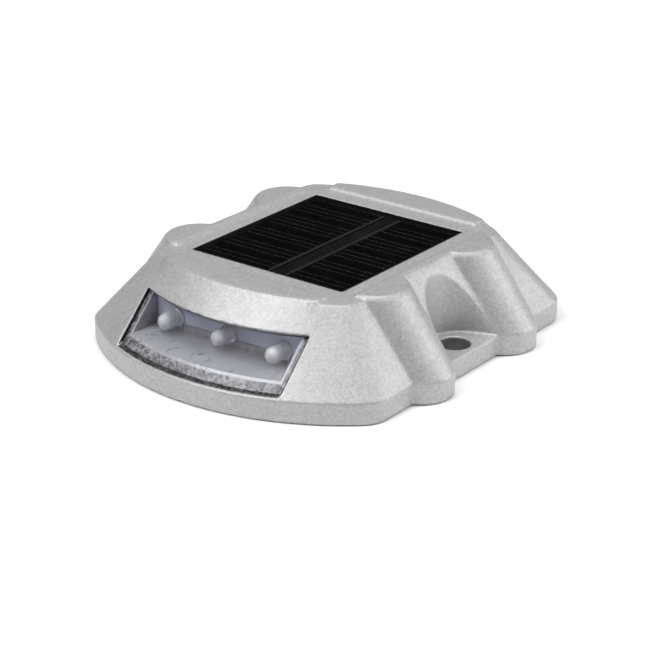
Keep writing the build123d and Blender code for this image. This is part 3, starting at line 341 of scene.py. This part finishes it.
SLOT_MATERIALS = {
    "cast_aluminium": aluminium(),
    "clear_resin": clear_resin(),
    "silicon": silicon(),
    "ribbon": plain("ribbon", (0.010, 0.0085, 0.007), (0.017, 0.015, 0.013), 1.2 * MM, rough=(0.5, 0.7)),
    "led_board": board("led_board", (0.42, 0.43, 0.54), (0.54, 0.55, 0.66)),
    "circuit_board": board("circuit_board", (0.010, 0.060, 0.022), (0.020, 0.105, 0.040)),
    "panel_board": board("panel_board", (0.004, 0.004, 0.005), (0.008, 0.008, 0.009)),
    "black_sealant": plain(
        "black_sealant", (0.006, 0.006, 0.006), (0.02, 0.02, 0.02),
        1.5 * MM, rough=(0.35, 0.6),
    ),
    "grey_sealant": sealant("grey_sealant", (0.03, 0.03, 0.032), (0.30, 0.30, 0.31)),
    "clear_lens": window_plate(),
    "tray_plastic": tray_plastic(),
    "led_epoxy": led_epoxy(),
    "lead_metal": metal("lead_metal", (0.80, 0.80, 0.78), 0.25),
    "cover_plastic": plain(
        "cover_plastic", (0.018, 0.018, 0.019), (0.030, 0.030, 0.031),
        2 * MM, depth=0.03,
    ),
    "gasket_rubber": plain(
        "gasket_rubber", (0.03, 0.03, 0.03), (0.05, 0.05, 0.05),
        1.2 * MM, rough=(0.65, 0.85),
    ),
    "screw_steel": metal("screw_steel", (0.62, 0.61, 0.59), 0.32, stretch=(1, 1, 0.3)),
    "adhesive": plain("adhesive", (0.50, 0.48, 0.42), (0.62, 0.60, 0.53), 3 * MM, rough=(0.3, 0.5)),
    "cell_core": plain("cell_core", (0.05, 0.05, 0.055), (0.09, 0.09, 0.10), 1 * MM),
    "cell_steel": metal("cell_steel", (0.70, 0.69, 0.66), 0.22, stretch=(1, 0.3, 1)),
    "cell_sleeve": plain("cell_sleeve", (0.02, 0.17, 0.07), (0.03, 0.24, 0.10), 6 * MM, rough=(0.2, 0.32)),
    "foam": plain(
        "foam", (0.05, 0.05, 0.055), (0.11, 0.11, 0.12),
        0.8 * MM, rough=(0.85, 0.95), depth=0.15,
    ),
    "chip_plastic": plain(
        "chip_plastic", (0.012, 0.012, 0.012), (0.022, 0.022, 0.022),
        0.8 * MM, rough=(0.5, 0.65),
    ),
    "ferrite": plain(
        "ferrite", (0.05, 0.048, 0.046), (0.085, 0.08, 0.075),
        0.6 * MM, rough=(0.55, 0.75), depth=0.03,
    ),
    "copper": metal("copper", (0.72, 0.30, 0.13), 0.24, size=0.5, stretch=(1, 1, 3)),
    "capacitor_sleeve": plain(
        "capacitor_sleeve", (0.015, 0.02, 0.06), (0.025, 0.03, 0.09),
        3 * MM, rough=(0.2, 0.3),
    ),
    "ceramic": plain("ceramic", (0.55, 0.50, 0.40), (0.68, 0.63, 0.52), 0.6 * MM, rough=(0.3, 0.45)),
    "button_rubber": plain(
        "button_rubber", (0.022, 0.022, 0.023), (0.04, 0.04, 0.041),
        1 * MM, rough=(0.6, 0.8),
    ),
    "wire_red": plain("wire_red", (0.36, 0.012, 0.010), (0.48, 0.022, 0.016), 2 * MM, rough=(0.3, 0.42)),
    "wire_black": plain(
        "wire_black", (0.012, 0.012, 0.013), (0.024, 0.024, 0.025),
        2 * MM, rough=(0.3, 0.42),
    ),
}


SLOT_OF = {part["node"]: part["material_slot"] for part in frame["record"]["subparts"]}


def dress(piece, material):
    piece.data.materials.clear()
    piece.data.materials.append(material)
    for face in piece.data.polygons:
        face.material_index = 0


for name, node in nodes.items():
    dress(node, SLOT_MATERIALS[SLOT_OF[name]])


# ---------------------------------------------------------------- building pieces


def add_piece(name, mesh, slot, body=STUD, smooth=True):
    """A new piece of the stud with its slot's material, riding on a body."""
    piece = bpy.data.objects.new(name, mesh)
    bpy.context.scene.collection.objects.link(piece)
    for face in mesh.polygons:
        face.use_smooth = smooth
    dress(piece, SLOT_MATERIALS[slot])
    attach(piece, body)
    return piece


def mesh_from(grid, name):
    mesh = bpy.data.meshes.new(name)
    grid.to_mesh(mesh)
    grid.free()
    return mesh


def baked_mesh(piece, name):
    """The piece's mesh with its modifiers applied."""
    depsgraph = bpy.context.evaluated_depsgraph_get()
    mesh = bpy.data.meshes.new_from_object(piece.evaluated_get(depsgraph))
    mesh.name = name
    return mesh


def joined_copy(node):
    """A copy of a CAD node's mesh with its split corners welded."""
    grid = bmesh.new()
    grid.from_mesh(nodes[node].data)
    bmesh.ops.remove_doubles(grid, verts=grid.verts, dist=0.001 * MM)
    return mesh_from(grid, node + "_copy")


# ---------------------------------------------------------------- cast body

CAST_VOXEL = 0.40 * MM
CAST_SMOOTHING = 4
CAST_FACES = 195_000
SLOPE_LOW = 7.4 * MM
SLOPE_HIGH = 26.6 * MM
SLOPE_SMOOTHING = 10
SCOOP_SMOOTHING = 45
SCOOP_LOW = 9.0 * MM
SCOOP_X = 48.9 * MM
SCOOP_RADIUS = 10.1 * MM
SCOOP_DRAFT = math.radians(2.7)
SCOOP_BLEND = 3.2 * MM
WINDOW_X = 31.8 * MM
WINDOW_Y = 40.0 * MM
WINDOW_LOW = 4.9 * MM
WINDOW_HIGH = 22.7 * MM

# The shallow line that runs down each corner, where the nose meets the corner's flat
LINE_FOOT = Vector((48.1, 51.43, 6.4)) * MM
LINE_TOP = Vector((25.9, 43.23, 27.8)) * MM
LINE_HALF_WIDTH = 0.42 * MM
LINE_DEPTH = 0.16 * MM


def fade(value, low, high):
    """0 at low, 1 at high, eased between."""
    share = min(max((value - low) / (high - low), 0.0), 1.0)
    return share * share * (3 - 2 * share)


def slope_share(point):
    """1 on the slopes, 0 on the skirt, the plateau and near the windows."""
    near_window = abs(point.y) > WINDOW_Y and abs(point.x) < WINDOW_X
    if near_window and WINDOW_LOW < point.z < WINDOW_HIGH:
        return 0.0
    return fade(point.z, SLOPE_LOW, SLOPE_LOW + MM) * (1 - fade(point.z, SLOPE_HIGH, SLOPE_HIGH + MM))


def scoop_share(point):
    """1 along the upper rims of the scoops above the bolt holes."""
    radius = SCOOP_RADIUS + (point.z - SCOOP_LOW) * math.tan(SCOOP_DRAFT)
    off = abs(math.hypot(abs(point.x) - SCOOP_X, point.y) - radius)
    return (1 - fade(off, 0.5 * SCOOP_BLEND, SCOOP_BLEND)) * fade(point.z, SCOOP_LOW, SCOOP_LOW + 4 * MM)


def soften(piece, passes, share=None):
    """Adds a smoothing pass, weighted by share(point) where one is given."""
    smooth = piece.modifiers.new("soften", "SMOOTH")
    smooth.factor = 0.5
    smooth.iterations = passes
    if share:
        group = piece.vertex_groups.new(name=share.__name__)
        for vertex in piece.data.vertices:
            weight = share(vertex.co)
            if weight > 0:
                group.add([vertex.index], weight, "REPLACE")
        smooth.vertex_group = group.name


def press_corner_lines(mesh):
    """Pushes a fine groove into the surface down each of the four corners."""
    along = LINE_TOP - LINE_FOOT
    for vertex in mesh.vertices:
        point = Vector((abs(vertex.co.x), abs(vertex.co.y), vertex.co.z))
        if not LINE_FOOT.z < point.z < LINE_TOP.z:
            continue
        share = (point - LINE_FOOT).dot(along) / along.length_squared
        off = (point - LINE_FOOT - share * along).length
        if off < LINE_HALF_WIDTH:
            vertex.co -= vertex.normal * LINE_DEPTH * (1 - fade(off, 0, LINE_HALF_WIDTH))


def soft_cast(node, name):
    """The node's shape with the rounded edges and filled corners that casting leaves."""
    piece = add_piece(name, joined_copy(node), SLOT_OF[node])
    remesh = piece.modifiers.new("voxels", "REMESH")
    remesh.mode = "VOXEL"
    remesh.voxel_size = CAST_VOXEL
    soften(piece, CAST_SMOOTHING)
    piece.data = baked_mesh(piece, name)
    piece.modifiers.clear()
    soften(piece, SLOPE_SMOOTHING, slope_share)
    soften(piece, SCOOP_SMOOTHING, scoop_share)
    piece.data = baked_mesh(piece, name)
    piece.modifiers.clear()
    press_corner_lines(piece.data)
    thin = piece.modifiers.new("thin", "DECIMATE")
    thin.ratio = CAST_FACES / (2 * len(piece.data.polygons))
    piece.data = baked_mesh(piece, name)
    piece.modifiers.clear()
    piece.vertex_groups.clear()
    dress(piece, SLOT_MATERIALS[SLOT_OF[node]])
    for face in piece.data.polygons:
        face.use_smooth = True
    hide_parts(node)
    return piece


soft_cast("housing", "cast_body")


# ---------------------------------------------------------------- solar panel

FINGER_PITCH = 2.7 * MM
FIRST_FINGER_Y = -25.9 * MM
FINGER_COUNT = 21
BARE_FINGERS = (2, 6, 10, 15, 19)
FINGER_WIDTH = 0.22 * MM
FINGER_HEIGHT = 0.02 * MM
COLUMN_EDGE = 0.4 * MM


def cell_columns():
    """The x range of each column of cells, left then right, from the gap in the CAD cells."""
    xs = sorted({round(vertex.co.x, 5) for vertex in nodes["solar_cells"].data.vertices})
    return [(xs[0], xs[1]), (xs[2], xs[3])]


def add_fingers():
    """Printed collecting lines across both columns, left out where one strip ends and the next begins."""
    grid = bmesh.new()
    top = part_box("solar_cells")[1].z
    for column_low, column_high in cell_columns():
        for row in range(FINGER_COUNT):
            if row in BARE_FINGERS:
                continue
            y = FIRST_FINGER_Y + row * FINGER_PITCH + randomness.uniform(-0.05, 0.05) * MM
            half = FINGER_WIDTH * randomness.uniform(0.4, 0.6)
            low, high = column_low + COLUMN_EDGE, column_high - COLUMN_EDGE
            ring = [(low, y - half), (low, y + half), (high, y + half), (high, y - half)]
            foot = [grid.verts.new((x, y, top)) for x, y in ring]
            crest = [grid.verts.new((x, y, top + FINGER_HEIGHT)) for x, y in ring]
            grid.faces.new(foot)
            grid.faces.new(list(reversed(crest)))
            for i in range(4):
                j = (i + 1) % 4
                grid.faces.new((foot[j], foot[i], crest[i], crest[j]))
    fingers = add_piece("cell_fingers", mesh_from(grid, "cell_fingers"), "ribbon", smooth=False)
    dress(fingers, printed_lines())


add_fingers()


# ---------------------------------------------------------------- LEDs

LED_FACETS = 40
LED_TILT = math.radians(2.0)
LED_RADIUS = 2.5 * MM
LED_RIM_THICKNESS = 1.0 * MM
LED_RIM_CHAMFER = 0.15 * MM
DOME_STEPS = 12


def led_profile(length, radius, rim_radius, rim_thickness):
    """Distance from the board and radius along an LED's outline, from the rim's foot to the tip."""
    chamfer = LED_RIM_CHAMFER
    outline = [(0, 0), (0, rim_radius - chamfer), (chamfer, rim_radius)]
    outline += [(rim_thickness - chamfer, rim_radius), (rim_thickness, rim_radius - chamfer)]
    outline += [(rim_thickness + 0.05 * MM, radius + 0.06 * MM), (rim_thickness + 0.3 * MM, radius)]
    dome = length - radius
    outline.append((0.5 * (rim_thickness + dome), radius * 0.995))
    for step in range(DOME_STEPS + 1):
        turn = math.radians(90 * step / DOME_STEPS)
        outline.append((dome + radius * math.sin(turn), radius * math.cos(turn)))
    return outline


def add_leds(end, side):
    """Three clear LEDs in a row, each turned a little in its holes."""
    low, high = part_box(f"{end}_leds")
    length = high.y - low.y
    rim = (high.z - low.z) / 2
    middle_z = (high.z + low.z) / 2
    board_y = low.y if side > 0 else high.y
    spacing = (high.x - low.x) / 2 - rim
    grid = bmesh.new()
    for place in (-1, 0, 1):
        led = bmesh.new()
        rings = []
        for distance, radius in led_profile(length, LED_RADIUS, rim, LED_RIM_THICKNESS):
            if radius < 1e-7:
                rings.append([led.verts.new((0, distance, 0))])
                continue
            ring = []
            for facet in range(LED_FACETS):
                turn = 2 * math.pi * facet / LED_FACETS
                ring.append(led.verts.new((radius * math.cos(turn), distance, radius * math.sin(turn))))
            rings.append(ring)
        for first, second in zip(rings, rings[1:]):
            for i in range(LED_FACETS):
                j = (i + 1) % LED_FACETS
                corners = [first[i % len(first)], first[j % len(first)]]
                corners += [second[j % len(second)], second[i % len(second)]]
                led.faces.new(list(dict.fromkeys(corners)))
        tilt = Matrix.Rotation(randomness.uniform(-1, 1) * LED_TILT, 4, "Z")
        tilt = tilt @ Matrix.Rotation(randomness.uniform(-1, 1) * LED_TILT, 4, "X")
        turn = Matrix.Rotation(0 if side > 0 else math.pi, 4, "Z")
        led.transform(Matrix.Translation((place * spacing, board_y, middle_z)) @ turn @ tilt)
        bmesh.ops.recalc_face_normals(led, faces=led.faces)
        part = mesh_from(led, "led")
        grid.from_mesh(part)
        bpy.data.meshes.remove(part)
    lamps = add_piece(f"{end}_led_lamps", mesh_from(grid, f"{end}_led_lamps"), "led_epoxy")
    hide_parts(f"{end}_leds")


for end, side in (("front", -1), ("rear", 1)):
    add_leds(end, side)


# ---------------------------------------------------------------- switch spring

SPRING_WIRE = 0.2 * MM
SPRING_TURNS = 2.0
SPRING_STEPS = 96
SPRING_FACETS = 12


def add_spring():
    """The button's return spring as a fine wire coil."""
    low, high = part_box("switch_spring")
    centre = (low + high) / 2
    radius = (high.x - low.x) / 2 - SPRING_WIRE
    bottom, top = low.z + SPRING_WIRE, high.z - SPRING_WIRE
    grid = bmesh.new()
    rings = []
    for step in range(SPRING_STEPS + 1):
        share = step / SPRING_STEPS
        turn = 2 * math.pi * SPRING_TURNS * share
        out = Vector((math.cos(turn), math.sin(turn), 0))
        middle = Vector((centre.x, centre.y, bottom + (top - bottom) * fade(share, 0, 1))) + radius * out
        ring = []
        for facet in range(SPRING_FACETS):
            angle = 2 * math.pi * facet / SPRING_FACETS
            offset = math.cos(angle) * out + math.sin(angle) * Vector((0, 0, 1))
            ring.append(grid.verts.new(middle + SPRING_WIRE * offset))
        rings.append(ring)
    for first, second in zip(rings, rings[1:]):
        for i in range(SPRING_FACETS):
            j = (i + 1) % SPRING_FACETS
            grid.faces.new((first[i], first[j], second[j], second[i]))
    grid.faces.new(rings[0])
    grid.faces.new(list(reversed(rings[-1])))
    bmesh.ops.recalc_face_normals(grid, faces=grid.faces)
    spring = add_piece("spring_coil", mesh_from(grid, "spring_coil"), SLOT_OF["switch_spring"])
    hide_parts("switch_spring")
    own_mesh(spring)


add_spring()


# ---------------------------------------------------------------- stage

CAMERA_AZIMUTH = math.radians(37.41)
CAMERA_ELEVATION = math.radians(22.96)
CAMERA_DISTANCE = 0.63551
AIM_HEIGHT = 0.02768
AIM_RIGHT = -0.0018
AIM_UP = -0.02452
FOCAL_PIXELS = 2125
PICTURE_PIXELS = 645
SENSOR = 36.0


def add_camera():
    a, e = CAMERA_AZIMUTH, CAMERA_ELEVATION
    right = Vector((math.cos(a), math.sin(a), 0))
    up = Vector((-math.sin(a) * math.sin(e), math.cos(a) * math.sin(e), math.cos(e)))
    back = right.cross(up)
    aim = Vector((0, 0, AIM_HEIGHT)) + AIM_RIGHT * right + AIM_UP * up
    data = bpy.data.cameras.new("camera")
    data.sensor_width = SENSOR
    data.lens = FOCAL_PIXELS / PICTURE_PIXELS * SENSOR
    data.clip_start = 0.01
    camera = bpy.data.objects.new("camera", data)
    camera.matrix_world = Matrix.Translation(aim + CAMERA_DISTANCE * back) @ Matrix(
        (right, up, back)
    ).transposed().to_4x4()
    bpy.context.scene.collection.objects.link(camera)
    bpy.context.scene.camera = camera


FLOOR_HALF = 6.0
FLOOR_Z = -0.3 * MM


def add_floor():
    mesh = bpy.data.meshes.new("floor")
    corners = [(-1, -1), (1, -1), (1, 1), (-1, 1)]
    points = [(x * FLOOR_HALF, y * FLOOR_HALF, FLOOR_Z) for x, y in corners]
    mesh.from_pydata(points, [], [(0, 1, 2, 3)])
    floor = bpy.data.objects.new("floor", mesh)
    bpy.context.scene.collection.objects.link(floor)
    s = Shading("floor", Roughness=0.9)
    s.color(s.ramp(s.noise(0.05, detail=3.0), (0.3, 0.95), (0.7, 0.97)))
    dress(floor, s.material)


SKY_LEVEL = 0.02
LIGHT_DISTANCE = 2.4
LIGHT_SIZE = 1.4
# Azimuth from +X towards +Y and elevation, in degrees, and power in watts
SOFTBOXES = (
    ("left_front", -120, 50, 36.6),
    ("overhead", 0, 88, 30.0),
    ("right_rear", 45, 20, 23.0),
    ("right", 10, 50, 10.5),
    ("rear", 127, 50, 4.3),
    ("front_fill", -52, 50, 2.6),
)


def add_softbox(name, azimuth, elevation, watts):
    """A square area light that faces the stud."""
    data = bpy.data.lights.new(name, "AREA")
    data.size = LIGHT_SIZE
    data.energy = watts
    light = bpy.data.objects.new(name, data)
    a, e = math.radians(azimuth), math.radians(elevation)
    place = LIGHT_DISTANCE * Vector((math.cos(a) * math.cos(e), math.sin(a) * math.cos(e), math.sin(e)))
    light.location = place
    light.rotation_euler = place.to_track_quat("Z", "Y").to_euler()
    bpy.context.scene.collection.objects.link(light)


def add_sky(level):
    world = bpy.data.worlds.new("studio")
    world.use_nodes = True
    background = world.node_tree.nodes["Background"]
    background.inputs["Color"].default_value = (1, 1, 1, 1)
    background.inputs["Strength"].default_value = level
    bpy.context.scene.world = world


add_camera()
add_floor()
add_sky(SKY_LEVEL)
for name, azimuth, elevation, watts in SOFTBOXES:
    add_softbox(name, azimuth, elevation, watts)
bpy.context.scene.view_settings.view_transform = "Standard"
